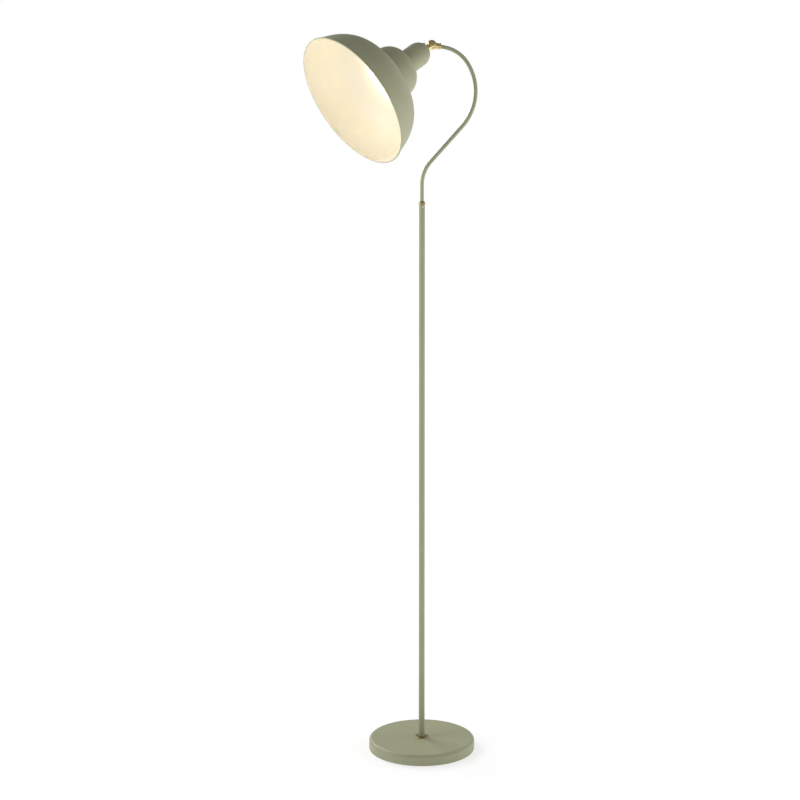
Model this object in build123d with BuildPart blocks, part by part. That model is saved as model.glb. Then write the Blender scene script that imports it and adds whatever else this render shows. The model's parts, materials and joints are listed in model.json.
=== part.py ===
from build123d import *
import os
from math import asin, cos, degrees, radians, sin, sqrt

# Adjustable arm floor lamp, millimetres.
# Origin: centre of the base on the floor.  +Z up, -Y is the side the lamp lights,
# +X is the side the swan-neck arm bulges towards.

os.makedirs("parts", exist_ok=True)

# ---------------------------------------------------------------- base
base_radius = 115.0
base_height = 24.3
base_edge_round = 6.8
base_foot_round = 0.5
cover_wall = 1.2
cover_lift = 0.8
pad_radius = 112.0
pad_thickness = 2.5
weight_radius = 111.5
weight_edge_round = 7.0
weight_pocket_depth = 8.0
weight_pocket_inner = 38.0
weight_pocket_outer = 88.0
counterbore_radius = 24.0
counterbore_top = 17.0
lead_channel_width = 9.0
lead_channel_top = 11.0
inlet_height = 6.5
inlet_hole_radius = 4.5
grommet_flange_radius = 5.5
grommet_flange = 1.5
grommet_bore_radius = 2.6
grommet_groove = 1.4
grommet_lip = 0.9
grommet_lip_radius = 5.2
grommet_chamfer = 0.8
foot_ring_radius = 14.8
foot_ring_height = 2.0
foot_ring_round = 1.4

# ---------------------------------------------------------------- base fixing
stem_radius = 4.0
stem_bore_radius = 2.7
stem_bottom = 10.5
stem_top = 58.0
stem_nut_flats = 13.0
stem_nut_height = 4.0
stem_washer_radius = 16.0
stem_washer_height = 2.0
fit_gap = 0.1
nut_corner_trim = 0.35

# ---------------------------------------------------------------- pole
pole_radius = 6.5
pole_bore_radius = 5.5
pole_bottom = base_height + foot_ring_height
pole_top = 1183.0
pole_section = (pole_top - pole_bottom) / 3
pole_end_chamfer = 0.35
coupler_length = 44.0
coupler_bore_radius = 4.2
foot_bush_height = 16.0

# ---------------------------------------------------------------- arm
tube_radius = 4.0
tube_bore_radius = 3.0
running_gap = 0.05
arm_bottom = 1100.0
arm_rise_top = 1224.0
first_bend_radius = 70.0
first_bend_angle = 42.0
slope_length = 98.0
second_bend_radius = 106.0
second_bend_angle = 75.0
third_bend_radius = 72.0
third_bend_angle = 46.5
arm_end_to_pivot = 26.8
socket_depth_from_pivot = 11.9
tube_end_gap = 0.2

collar_height = 6.8
collar_radius = 7.0
collar_spigot = 20.0
collar_dome_height = 3.6
collar_dome_middle = (0.75, 1.25)
collar_top_radius = 4.4
collar_screw_drop = 4.6
collar_screw_angle = 13.0
collar_screw_radius = 1.25
collar_screw_head = (1.8, 0.7)
collar_screw_slot = 0.5
lug_drop = 4.0
lug_width = 1.15
lug_half_angle = 20.0
bush_bottom = 1110.0
bush_height = 20.0
thrust_ring_height = 2.0
thrust_ring_radius = 5.1
clip_thickness = 1.2
clip_gap = 0.2
clip_groove_radius = 3.6
stop_pin_radius = 1.0
stop_pin_reach = 5.2

# ---------------------------------------------------------------- knuckle
cheek_radius = 9.0
cheek_outer = 8.0
cheek_gap = 0.25
cheek_round = 4.4
cheek_clearance = 0.4
friction_inset = 0.3
# Distance from the pivot and radius along each neck, up to its flange.
arm_neck = [(6.0, 6.6), (9.4, 6.3), (12.0, 6.0), (14.2, 5.9), (15.9, 6.1)]
shade_neck = [(6.0, 6.6), (8.0, 6.4), (10.0, 6.2), (11.5, 6.2)]
neck_flange_height = 3.0
neck_flange_radius = 6.9
neck_flange_round = 0.6
chamber_inner = 2.9
chamber_outer = 6.2
chamber_depth = 3.6
lead_bore_radius = 2.6
lead_bore_start = 4.6
pivot_shank_radius = 1.75
pivot_head_radius = 3.1
pivot_head_base = 6.9
pivot_head_height = 1.3
pivot_head_slot = 0.8
head_pocket = (3.4, 6.4)
nut_pocket = (3.6, 5.4)
pivot_nut_flats = 6.0
core_level = 1.3
core_start_angle = 12.0
core_sweep = 100.0
roll_groove_centre = 17.4
roll_groove_width = 2.2
roll_groove_floor = 3.5
roll_range = (-5.0, 90.0)
roll_play = 1.0
roll_screw_radius = 1.0
roll_screw_recess = 0.2

# ---------------------------------------------------------------- head
shade_azimuth = 213.3
shade_elevation = -31.0
cap_start = shade_neck[-1][0] + neck_flange_height
cap_end = 75.3
cap_radius = 25.0
cap_wall = 1.0
cap_nose_radius = 7.1
cap_nose_slope = 24.0
nipple_start = 9.8
nipple_end = 38.0
cap_washer_radius = 6.7
cap_washer_height = 1.5
cap_nut_flats = 13.0
cap_nut_height = 3.2
cap_screw_angle = 12.0
cap_screw_lean = 47.3
cap_screw_radius = 1.5
cap_screw_head_radius = 2.8
cap_screw_head_height = 1.8
cap_screw_slot = 0.7
cap_screw_length = 4.5
cap_boss_radius = 3.0
cap_boss_depth = 2.0
shade_wall = 0.9
shade_hole_radius = 20.2
shade_seat_radius = 22.6
# Radius and turn of each arc from the seat to the rim; no turn is a straight run.
shade_arcs = [
    (10.0, 12.15), (38.3, 67.5), (21.2, 0.0), (7.76, -47.0), (88.1, -11.3), (140.2, 10.8),
    (65.3, 22.56), (110.8, 16.92), (780.0, 2.0),
]
rim_roll_radius = 1.5
rim_roll_inset = 0.15
rim_roll_drop = 0.6
holder_radius = 19.8
holder_flange_radius = 23.2
holder_flange_height = 3.0
holder_cap_start = 26.0
holder_cap_round = 7.0
holder_cap_roof = 3.0
holder_cap_wall = 2.0
holder_sleeve = 3.0
holder_body_start = 46.0
holder_body_end = 88.0
holder_pocket_radius = 12.0
holder_pocket_depth = 5.0
holder_bore_radius = 14.5
holder_floor_end = 60.0
shell_wall = 0.6
shell_drop = 3.0
contact_strip = (14.0, 5.0, 0.6)
contact_radius = 2.4
terminal_offset = 6.5
terminal_size = (5.0, 6.0, 6.0)
shade_ring_radius = 22.5
shade_ring_height = 7.0
ring_flange_height = 2.0
ring_notches = 12
ring_notch_radius = 1.6
ring_notch_offset = 0.6
bulb_contact = 62.0
bulb_cap_end = 88.0
bulb_cap_seat = 12.4
bulb_tip = 140.0
bulb_radius = 22.5
glass_wall = 0.7
globe_lean = 72.0
globe_crown = 20.0
globe_root = 2.0
# Radius and distance beyond the metal cap of points on the globe's neck.
globe_neck = [(12.3, 0.2), (12.9, 4.0), (14.6, 9.5), (18.0, 16.0)]
# Radius and distance from the contact of the metal cap's stepped nose.
bulb_nose = [(0.0, 0.0), (3.0, 0.4), (4.4, 1.6), (9.6, 3.0), (13.1, 5.4)]

# ---------------------------------------------------------------- inner lead
lead_radius = 2.1
lead_bend_radius = 6.0
core_radius = 0.75
core_spread = 5.0
core_end_gap = 1.8
lead_end_to_pivot = 9.6
lead_end_gap = 0.5
head_lead_tail = 2.0


# ================================================================ directions
def unit_xz(angle):
    """Unit vector in the XZ plane at an angle above +X."""
    return Vector(cos(radians(angle)), 0, sin(radians(angle)))


class ArmRoute:
    """Straight runs joined by tangent arcs in the XZ plane."""

    def __init__(self, x, z, heading):
        self.position = Vector(x, 0, z)
        self.heading = heading
        self.edges = []

    def run(self, length):
        end = self.position + unit_xz(self.heading) * length
        self.edges.append(Line(self.position, end, mode=Mode.PRIVATE))
        self.position = end

    def bend(self, radius, turn):
        side = 90 if turn > 0 else -90
        centre = self.position + unit_xz(self.heading + side) * radius
        middle = centre + unit_xz(self.heading + turn / 2 - side) * radius
        end = centre + unit_xz(self.heading + turn - side) * radius
        self.edges.append(ThreePointArc(self.position, middle, end, mode=Mode.PRIVATE))
        self.position = end
        self.heading += turn


def arm_route(start_height, last_run):
    """The swan neck from inside the pole to its end near the knuckle."""
    route = ArmRoute(0, start_height, 90)
    route.run(arm_rise_top - start_height)
    route.bend(first_bend_radius, -first_bend_angle)
    route.run(slope_length)
    route.bend(second_bend_radius, second_bend_angle)
    route.bend(third_bend_radius, third_bend_angle)
    route.run(last_run)
    return route


whole_arm = arm_route(arm_bottom, arm_end_to_pivot)
pivot = whole_arm.position
arm_forward = unit_xz(whole_arm.heading)
arm_back = arm_forward * -1
shade_forward = Vector(
    cos(radians(shade_elevation)) * cos(radians(shade_azimuth)),
    cos(radians(shade_elevation)) * sin(radians(shade_azimuth)),
    sin(radians(shade_elevation)),
)
tilt_direction = arm_forward.cross(shade_forward).normalized()

# Local x runs along the neck, local z along the tilt pin.
arm_neck_plane = Plane(origin=pivot, x_dir=arm_back, z_dir=tilt_direction)
shade_neck_plane = Plane(origin=pivot, x_dir=shade_forward, z_dir=tilt_direction)
# Local z runs from the knuckle towards the mouth of the shade.
head_plane = Plane(origin=pivot, x_dir=tilt_direction, z_dir=shade_forward)
# Local x is a radius of the shade, local y its axis.
head_section = Plane(origin=pivot, x_dir=tilt_direction, z_dir=tilt_direction.cross(shade_forward))
head_axis = Axis(pivot, shade_forward)
arm_end_plane = Plane(origin=pivot, x_dir=tilt_direction, z_dir=arm_back)

print("pivot", pivot)
print("arm forward", arm_forward, "shade forward", shade_forward, "tilt axis", tilt_direction)
print("rest bend", degrees(asin(arm_forward.cross(shade_forward).length)))


# ================================================================ helpers
def ring(plane, start, end, outer, inner=0.0):
    """Plain disc or ring along the plane's normal."""
    with BuildPart() as body:
        with BuildSketch(plane.offset(start)):
            Circle(outer)
            if inner > 0:
                Circle(inner, mode=Mode.SUBTRACT)
        extrude(amount=end - start)
    return body.part


def hex_nut(plane, start, end, flats, bore):
    """Hexagon nut along the plane's normal, with its corners turned off."""
    corner = flats / 2 / cos(radians(30))
    with BuildPart() as body:
        with BuildSketch(plane.offset(start)):
            RegularPolygon(radius=flats / 2, side_count=6, major_radius=False)
            Circle(bore, mode=Mode.SUBTRACT)
        extrude(amount=end - start)
        with BuildSketch(plane.offset(start)):
            Circle(corner - nut_corner_trim)
        extrude(amount=end - start, mode=Mode.INTERSECT)
    return body.part


def slotted_screw(plane, shank_radius, shank_length, head_radius, head_height, slot):
    """Domed slotted screw: head above the plane, shank below it."""
    with BuildPart() as body:
        with BuildSketch(plane):
            Circle(head_radius)
        extrude(amount=head_height)
        fillet(body.edges().filter_by(GeomType.CIRCLE).sort_by(Axis(plane.origin, plane.z_dir))[-1],
               radius=head_height * 0.6)
        with BuildSketch(plane):
            Circle(shank_radius)
        extrude(amount=-shank_length)
        with BuildSketch(plane.offset(head_height)):
            Rectangle(head_radius * 3, slot)
        extrude(amount=-head_height * 0.45, mode=Mode.SUBTRACT)
    return body.part


def rod(start, end, radius):
    """Round rod between two points."""
    direction = Vector(end) - Vector(start)
    with BuildPart() as body:
        with BuildSketch(Plane(origin=start, z_dir=direction)):
            Circle(radius)
        extrude(amount=direction.length)
    return body.part


def left_of(heading):
    """Unit vector square to a heading, on its left."""
    return Vector(-sin(radians(heading)), cos(radians(heading)), 0)


def shade_side(distance):
    """Start, middle and end of each piece of the spun profile, moved inwards by a distance."""
    here = Vector(shade_seat_radius, cap_end, 0)
    heading = 0.0
    pieces = []
    for size, turn in shade_arcs:
        start = here + left_of(heading) * distance
        if turn == 0:
            half = heading
            ahead = left_of(heading - 90)
            middle = here + ahead * (size / 2)
            here = here + ahead * size
        else:
            bend = size if turn > 0 else -size
            half = heading + turn / 2
            middle = here + (left_of(heading) - left_of(half)) * bend
            here = here + (left_of(heading) - left_of(heading + turn)) * bend
        heading += turn
        middle = middle + left_of(half) * distance
        pieces.append((start, middle, here + left_of(heading) * distance))
    return pieces


def profile_edges(pieces):
    """Draw the pieces of a profile, straight where they do not turn."""
    for (start, middle, end), (_, turn) in zip(pieces, shade_arcs):
        if turn == 0:
            Line(start, end)
        else:
            ThreePointArc(start, middle, end)


def keep(part, name):
    """Label a piece and write it."""
    part.label = name
    export_step(part, f"parts/{name}.step")
    print(f"{name:24s} {part.volume / 1000:10.3f} cm3  solids {len(part.solids())}  valid {part.is_valid}")


# ================================================================ base
keep(ring(Plane.XY, 0, pad_thickness, pad_radius), "base_pad")

with BuildPart() as base_weight:
    with BuildSketch(Plane.XY.offset(pad_thickness)):
        Circle(weight_radius)
    extrude(amount=base_height - cover_wall - pad_thickness)
    fillet(base_weight.edges().group_by(Axis.Z)[-1], radius=weight_edge_round)
    with BuildSketch(Plane.XY.offset(pad_thickness)):
        Circle(stem_radius + fit_gap)
    extrude(amount=base_height, mode=Mode.SUBTRACT)
    with BuildSketch(Plane.XY.offset(pad_thickness)):
        Circle(counterbore_radius)
    extrude(amount=counterbore_top - pad_thickness, mode=Mode.SUBTRACT)
    with BuildSketch(Plane.XY.offset(pad_thickness)):
        Circle(weight_pocket_outer)
        Circle(weight_pocket_inner, mode=Mode.SUBTRACT)
    extrude(amount=weight_pocket_depth, mode=Mode.SUBTRACT)
    with BuildSketch(Plane.XY.offset(pad_thickness)):
        with Locations((0, weight_radius / 2)):
            Rectangle(lead_channel_width, weight_radius + 2)
    extrude(amount=lead_channel_top - pad_thickness, mode=Mode.SUBTRACT)
keep(base_weight.part, "base_weight")

with BuildPart() as cover_inside:
    with BuildSketch(Plane.XY):
        Circle(base_radius - cover_wall)
    extrude(amount=base_height - cover_wall)
    fillet(cover_inside.edges().group_by(Axis.Z)[-1], radius=base_edge_round - cover_wall)

with BuildPart() as base_cover:
    with BuildSketch(Plane.XY.offset(cover_lift)):
        Circle(base_radius)
    extrude(amount=base_height - cover_lift)
    fillet(base_cover.edges().group_by(Axis.Z)[-1], radius=base_edge_round)
    fillet(base_cover.edges().group_by(Axis.Z)[0], radius=base_foot_round)
    add(cover_inside.part, mode=Mode.SUBTRACT)
    with BuildSketch(Plane.XY):
        Circle(stem_radius + fit_gap)
    extrude(amount=base_height + 1, mode=Mode.SUBTRACT)
    with BuildSketch(Plane.XZ.offset(-base_radius - 1)):
        with Locations((0, inlet_height)):
            Circle(inlet_hole_radius)
    extrude(amount=cover_wall + 3, mode=Mode.SUBTRACT)
keep(base_cover.part, "base_cover")

# Rubber bush in the rear of the cover, where the supply cord enters.
inlet_point = (0, base_radius, inlet_height)
grommet_section = Plane(origin=inlet_point, x_dir=(0, 0, 1), z_dir=(-1, 0, 0))
with BuildPart() as cord_grommet:
    with BuildSketch(grommet_section):
        with BuildLine():
            Polyline(
                (grommet_bore_radius, grommet_flange),
                (grommet_flange_radius - grommet_chamfer, grommet_flange),
                (grommet_flange_radius, grommet_flange - grommet_chamfer),
                (grommet_flange_radius, fit_gap),
                (inlet_hole_radius, fit_gap),
                (inlet_hole_radius, -grommet_groove),
                (grommet_lip_radius, -grommet_groove),
                (grommet_lip_radius, -grommet_groove - grommet_lip),
                (grommet_bore_radius, -grommet_groove - grommet_lip),
                close=True,
            )
        make_face()
    revolve(axis=Axis(inlet_point, (0, 1, 0)))
keep(cord_grommet.part, "cord_grommet")

with BuildPart() as foot_ring:
    with BuildSketch(Plane.XY.offset(base_height)):
        Circle(foot_ring_radius)
        Circle(stem_radius + fit_gap, mode=Mode.SUBTRACT)
    extrude(amount=foot_ring_height)
    outer_edge = foot_ring.edges().group_by(Axis.Z)[-1].sort_by(SortBy.RADIUS)[-1]
    fillet(outer_edge, radius=foot_ring_round)
keep(foot_ring.part, "foot_ring")

keep(ring(Plane.XY, stem_bottom, stem_top, stem_radius, stem_bore_radius), "base_stem")
keep(ring(Plane.XY, counterbore_top - stem_washer_height, counterbore_top, stem_washer_radius,
          stem_radius + fit_gap), "base_washer")
nut_top = counterbore_top - stem_washer_height
keep(hex_nut(Plane.XY, nut_top - stem_nut_height, nut_top, stem_nut_flats, stem_radius), "base_nut")

# ================================================================ pole
# The collar's screw stands square to the pole, a little to the right of its front.
screw_outward = Vector(sin(radians(collar_screw_angle)), -cos(radians(collar_screw_angle)), 0)
collar_screw_plane = Plane(origin=screw_outward * pole_radius + Vector(0, 0, pole_top - collar_screw_drop),
                           z_dir=screw_outward)
section_names = ["pole_lower", "pole_middle", "pole_upper"]
for index, name in enumerate(section_names):
    bottom = pole_bottom + index * pole_section
    with BuildPart() as section:
        with BuildSketch(Plane.XY.offset(bottom)):
            Circle(pole_radius)
            Circle(pole_bore_radius, mode=Mode.SUBTRACT)
        extrude(amount=pole_section)
        outer_edges = section.edges().filter_by(GeomType.CIRCLE)
        outer_edges = outer_edges.filter_by(lambda edge: edge.radius > pole_bore_radius + 0.5)
        chamfer(outer_edges, length=pole_end_chamfer)
        if name == "pole_upper":
            with BuildSketch(collar_screw_plane.offset(1)):
                Circle(collar_screw_radius)
            extrude(amount=-pole_radius, mode=Mode.SUBTRACT)
    keep(section.part, name)

keep(ring(Plane.XY, pole_bottom + 1, pole_bottom + 1 + foot_bush_height, pole_bore_radius, stem_radius),
     "pole_foot_bush")

with BuildPart() as pole_couplers:
    for joint in (1, 2):
        middle = pole_bottom + joint * pole_section
        with BuildSketch(Plane.XY.offset(middle - coupler_length / 2)):
            Circle(pole_bore_radius)
            Circle(coupler_bore_radius, mode=Mode.SUBTRACT)
        extrude(amount=coupler_length)
keep(pole_couplers.part, "pole_couplers")

# Brass collar: spigot inside the pole, domed ring on top, a lug below as the turning stop.
collar_top = pole_top + collar_height
collar_bore = tube_radius + running_gap
spigot_bottom = pole_top - collar_spigot
with BuildPart() as arm_collar:
    with BuildSketch(Plane.XZ):
        with BuildLine():
            Polyline((collar_bore, spigot_bottom), (pole_bore_radius, spigot_bottom),
                     (pole_bore_radius, pole_top), (collar_radius, pole_top),
                     (collar_radius, collar_top - collar_dome_height))
            ThreePointArc((collar_radius, collar_top - collar_dome_height),
                          (collar_radius - collar_dome_middle[0], collar_top - collar_dome_middle[1]),
                          (collar_top_radius, collar_top))
            Polyline((collar_top_radius, collar_top), (collar_bore, collar_top),
                     (collar_bore, spigot_bottom))
        make_face()
    revolve(axis=Axis.Z)
    lug_plane = Plane(origin=(0, 0, 0), x_dir=(sin(radians(lug_half_angle)), cos(radians(lug_half_angle)), 0),
                      z_dir=(cos(radians(lug_half_angle)), -sin(radians(lug_half_angle)), 0))
    with BuildSketch(lug_plane):
        with Locations(((collar_bore + pole_bore_radius) / 2, spigot_bottom - lug_drop / 2)):
            Rectangle(lug_width, lug_drop)
    revolve(axis=Axis.Z, revolution_arc=2 * lug_half_angle)
    with BuildSketch(collar_screw_plane.offset(1)):
        Circle(collar_screw_radius)
    extrude(amount=-pole_radius, mode=Mode.SUBTRACT)
keep(arm_collar.part, "arm_collar")

head_radius, head_height = collar_screw_head
keep(slotted_screw(collar_screw_plane, collar_screw_radius, pole_radius - tube_radius - 2 * fit_gap,
                   head_radius, head_height, collar_screw_slot), "collar_screw")

keep(ring(Plane.XY, bush_bottom, bush_bottom + bush_height, pole_bore_radius, collar_bore), "arm_bush")

# ================================================================ arm
tube_route = arm_route(arm_bottom, arm_end_to_pivot - socket_depth_from_pivot)
tube_path = Wire(tube_route.edges)
pin_height = spigot_bottom - lug_drop / 2
with BuildPart() as arm_tube:
    with BuildSketch(Plane(origin=(0, 0, arm_bottom), z_dir=(0, 0, 1))):
        Circle(tube_radius)
        Circle(tube_bore_radius, mode=Mode.SUBTRACT)
    sweep(path=tube_path)
    # Groove for the retaining clip.
    clip_top = bush_bottom - clip_gap
    with BuildSketch(Plane.XY.offset(clip_top - clip_thickness)):
        Circle(tube_radius + 1)
        Circle(clip_groove_radius, mode=Mode.SUBTRACT)
    extrude(amount=clip_thickness, mode=Mode.SUBTRACT)
    # Hole for the stop pin.
    with BuildSketch(Plane.XZ.offset(tube_bore_radius - 0.5)):
        with Locations((0, pin_height)):
            Circle(stop_pin_radius)
    extrude(amount=tube_radius, mode=Mode.SUBTRACT)
    # Part-turn groove that limits the roll of the knuckle.
    screw_half_angle = degrees(asin(roll_screw_radius / roll_groove_floor)) + roll_play
    groove_start = roll_range[0] - screw_half_angle
    groove_sweep = roll_range[1] + screw_half_angle - groove_start
    groove_side = (tilt_direction * -1).rotate(Axis((0, 0, 0), arm_forward), groove_start)
    groove_plane = Plane(origin=pivot, x_dir=groove_side, z_dir=groove_side.cross(arm_forward))
    with BuildSketch(groove_plane):
        with Locations((roll_groove_floor + 1, -roll_groove_centre)):
            Rectangle(2, roll_groove_width)
    revolve(axis=Axis(pivot, arm_forward), revolution_arc=groove_sweep, mode=Mode.SUBTRACT)
keep(arm_tube.part, "arm_tube")

keep(ring(Plane.XY, clip_top - clip_thickness, clip_top, thrust_ring_radius, clip_groove_radius), "arm_clip")
thrust_bottom = bush_bottom + bush_height + running_gap
keep(ring(Plane.XY, thrust_bottom, thrust_bottom + thrust_ring_height, thrust_ring_radius, tube_radius),
     "arm_thrust_ring")

keep(rod((0, -tube_bore_radius - 0.1, pin_height), (0, -stop_pin_reach, pin_height), stop_pin_radius),
     "arm_stop_pin")

# ================================================================ knuckle
def knuckle_half(neck_plane, side, neck, socket_radius, socket_start, pin_hole, pocket):
    """One brass half: lapped cheek on one side of the pin, hollow neck and flange."""
    neck_axis = Axis(neck_plane.origin, neck_plane.x_dir)
    near = cheek_gap * side
    outer = cheek_outer * side
    pin_axis = Axis(neck_plane.origin, neck_plane.z_dir * side)
    neck_start = neck[0][0]
    flange_start = neck[-1][0]
    flange_end = flange_start + neck_flange_height
    with BuildPart() as cheek:
        with BuildSketch(neck_plane.offset(near)):
            Circle(cheek_radius)
        extrude(amount=outer - near)
        fillet(cheek.edges().filter_by(GeomType.CIRCLE).sort_by(pin_axis)[-1], radius=cheek_round)
    with BuildPart() as half:
        with BuildSketch(neck_plane):
            with BuildLine():
                Line((neck_start, 0), neck[0])
                Spline(*neck)
                Polyline(neck[-1], (flange_start, neck_flange_radius),
                         (flange_end, neck_flange_radius), (flange_end, 0), (neck_start, 0))
            make_face()
        revolve(axis=neck_axis)
        flange_edges = half.edges().filter_by(GeomType.CIRCLE)
        flange_edges = flange_edges.filter_by(lambda edge: abs(edge.radius - neck_flange_radius) < 0.01)
        fillet(flange_edges, radius=neck_flange_round)
        # Room for the other half's cheek.
        with BuildSketch(neck_plane.offset(near)):
            Circle(cheek_radius + cheek_clearance)
        extrude(amount=-side * (cheek_radius + 1), mode=Mode.SUBTRACT)
        add(cheek.part)
        # Ring chamber round the pin, for the lead.
        with BuildSketch(neck_plane.offset(near)):
            Circle(chamber_outer)
            Circle(chamber_inner, mode=Mode.SUBTRACT)
        extrude(amount=side * (chamber_depth - cheek_gap), mode=Mode.SUBTRACT)
        # Pocket for the screw head or nut, and the pin hole.
        with BuildSketch(neck_plane.offset(side * pocket[1])):
            Circle(pocket[0])
        extrude(amount=side * cheek_outer, mode=Mode.SUBTRACT)
        with BuildSketch(neck_plane):
            Circle(pin_hole)
        extrude(amount=side * (cheek_outer + 1), mode=Mode.SUBTRACT)
        # Lead bore and tube socket.
        bore_plane = Plane(origin=neck_plane.origin, x_dir=neck_plane.z_dir, z_dir=neck_plane.x_dir)
        with BuildSketch(bore_plane.offset(lead_bore_start)):
            Circle(lead_bore_radius)
        extrude(amount=flange_end, mode=Mode.SUBTRACT)
        with BuildSketch(bore_plane.offset(socket_start)):
            Circle(socket_radius)
        extrude(amount=flange_end, mode=Mode.SUBTRACT)
    return half.part


arm_half = knuckle_half(arm_neck_plane, -1, arm_neck, tube_radius + running_gap,
                        socket_depth_from_pivot - tube_end_gap, pivot_shank_radius, nut_pocket)
with BuildPart() as knuckle_arm_half:
    add(arm_half)
    with BuildSketch(Plane(origin=pivot + arm_back * roll_groove_centre, z_dir=tilt_direction * -1)):
        Circle(roll_screw_radius)
    extrude(amount=neck_flange_radius + 1, mode=Mode.SUBTRACT)
keep(knuckle_arm_half.part, "knuckle_arm_half")

keep(knuckle_half(shade_neck_plane, 1, shade_neck, stem_radius, nipple_start,
                  pivot_shank_radius + running_gap, head_pocket), "knuckle_shade_half")

pin_base = pivot + arm_back * roll_groove_centre
keep(rod(pin_base - tilt_direction * (roll_groove_floor + fit_gap),
         pin_base - tilt_direction * (neck_flange_radius - roll_screw_recess), roll_screw_radius),
     "knuckle_roll_screw")

pin_plane = Plane(origin=pivot, x_dir=arm_back, z_dir=tilt_direction)
keep(ring(pin_plane, -cheek_gap, cheek_gap - running_gap, cheek_radius - friction_inset,
          chamber_outer + friction_inset),
     "knuckle_friction_washer")
keep(ring(pin_plane, head_pocket[1] + running_gap, pivot_head_base, pivot_head_radius,
          pivot_shank_radius), "knuckle_spring_washer")
keep(slotted_screw(pin_plane.offset(pivot_head_base), pivot_shank_radius,
                   pivot_head_base + cheek_outer, pivot_head_radius, pivot_head_height, pivot_head_slot),
     "knuckle_pivot_screw")
keep(hex_nut(pin_plane, -cheek_outer, -nut_pocket[1], pivot_nut_flats, pivot_shank_radius),
     "knuckle_pivot_nut")

# Two insulated cores that pass the pin inside the ring chambers.
with BuildPart() as knuckle_cores:
    core_ring = (chamber_inner + chamber_outer) / 2
    arm_side = Axis((0, 0, 0), tilt_direction)
    for turn in (1, -1):
        radial = arm_back.rotate(arm_side, core_start_angle * turn)
        section = Plane(origin=pivot + radial * core_ring - tilt_direction * (core_level * turn),
                        x_dir=radial, z_dir=tilt_direction.cross(radial) * turn)
        with BuildSketch(section):
            Circle(core_radius)
        revolve(axis=Axis(pivot, tilt_direction * turn), revolution_arc=core_sweep)
keep(knuckle_cores.part, "knuckle_cores")

# ================================================================ head
dome_radius = (cap_radius - cap_nose_radius) / (1 - sin(radians(cap_nose_slope)))
dome_offset = cap_radius - dome_radius
dome_centre = cap_start + dome_radius * cos(radians(cap_nose_slope))


def cap_solid(shrink, end):
    """Solid cup: small flat nose, round dome and straight side, drawn in by a distance."""
    size = dome_radius - shrink
    nose = cap_start + shrink
    nose_radius = dome_offset + sqrt(size ** 2 - (dome_centre - nose) ** 2)
    lean = radians((cap_nose_slope + 90) / 2)
    with BuildPart() as body:
        with BuildSketch(head_section):
            with BuildLine():
                Line((0, nose), (nose_radius, nose))
                ThreePointArc((nose_radius, nose),
                              (dome_offset + size * sin(lean), dome_centre - size * cos(lean)),
                              (dome_offset + size, dome_centre))
                Polyline((dome_offset + size, dome_centre), (dome_offset + size, end), (0, end), (0, nose))
            make_face()
        revolve(axis=head_axis)
    return body.part


# Two small screws square to the dome bear on the lampholder's top.
screw_planes = []
for angle in (cap_screw_angle, cap_screw_angle + 180):
    spoke = tilt_direction.rotate(Axis((0, 0, 0), shade_forward), angle)
    outward = spoke * sin(radians(cap_screw_lean)) - shade_forward * cos(radians(cap_screw_lean))
    root = pivot + spoke * dome_offset + shade_forward * dome_centre
    screw_planes.append(Plane(origin=root + outward * dome_radius, z_dir=outward))

with BuildPart() as cap_cup:
    add(cap_solid(0, cap_end))
    add(cap_solid(cap_wall, cap_end + 1), mode=Mode.SUBTRACT)
    for plane in screw_planes:
        with BuildSketch(plane.offset(-cap_wall / 2)):
            Circle(cap_boss_radius)
        extrude(amount=-cap_boss_depth)
        with BuildSketch(plane.offset(1)):
            Circle(cap_screw_radius)
        extrude(amount=-cap_screw_length - 1, mode=Mode.SUBTRACT)
    with BuildSketch(head_plane):
        Circle(stem_radius + fit_gap)
    extrude(amount=nipple_end, mode=Mode.SUBTRACT)
keep(cap_cup.part, "cap_cup")

washer_start = cap_start + cap_wall
washer_end = washer_start + cap_washer_height
keep(ring(head_plane, washer_start, washer_end, cap_washer_radius, stem_radius + fit_gap), "cap_plate")

with BuildPart() as cap_screws:
    for plane in screw_planes:
        add(slotted_screw(plane, cap_screw_radius, cap_screw_length, cap_screw_head_radius,
                          cap_screw_head_height, cap_screw_slot))
keep(cap_screws.part, "cap_screws")

keep(ring(head_plane, nipple_start, nipple_end, stem_radius, lead_bore_radius), "cap_nipple")
keep(hex_nut(head_plane, washer_end, washer_end + cap_nut_height, cap_nut_flats, stem_radius), "cap_nut")

# Lampholder: domed top, body with shoulder, shell, contact, terminals and shade ring.
round_start = holder_radius - holder_cap_round
round_end = holder_cap_start + holder_cap_round
round_reach = holder_cap_round * sin(radians(45))
roof = holder_cap_start + holder_cap_roof
sleeve_radius = stem_radius + holder_sleeve
with BuildPart() as holder_top:
    with BuildSketch(head_section):
        with BuildLine():
            Line((stem_radius, holder_cap_start), (round_start, holder_cap_start))
            ThreePointArc((round_start, holder_cap_start),
                          (round_start + round_reach, round_end - round_reach),
                          (holder_radius, round_end))
            Polyline((holder_radius, round_end), (holder_radius, holder_body_start),
                     (holder_radius - holder_cap_wall, holder_body_start),
                     (holder_radius - holder_cap_wall, round_end + holder_cap_wall),
                     (round_start, roof), (sleeve_radius, roof), (sleeve_radius, nipple_end),
                     (stem_radius, nipple_end), (stem_radius, holder_cap_start))
        make_face()
    revolve(axis=head_axis)
keep(holder_top.part, "holder_top")

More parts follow.
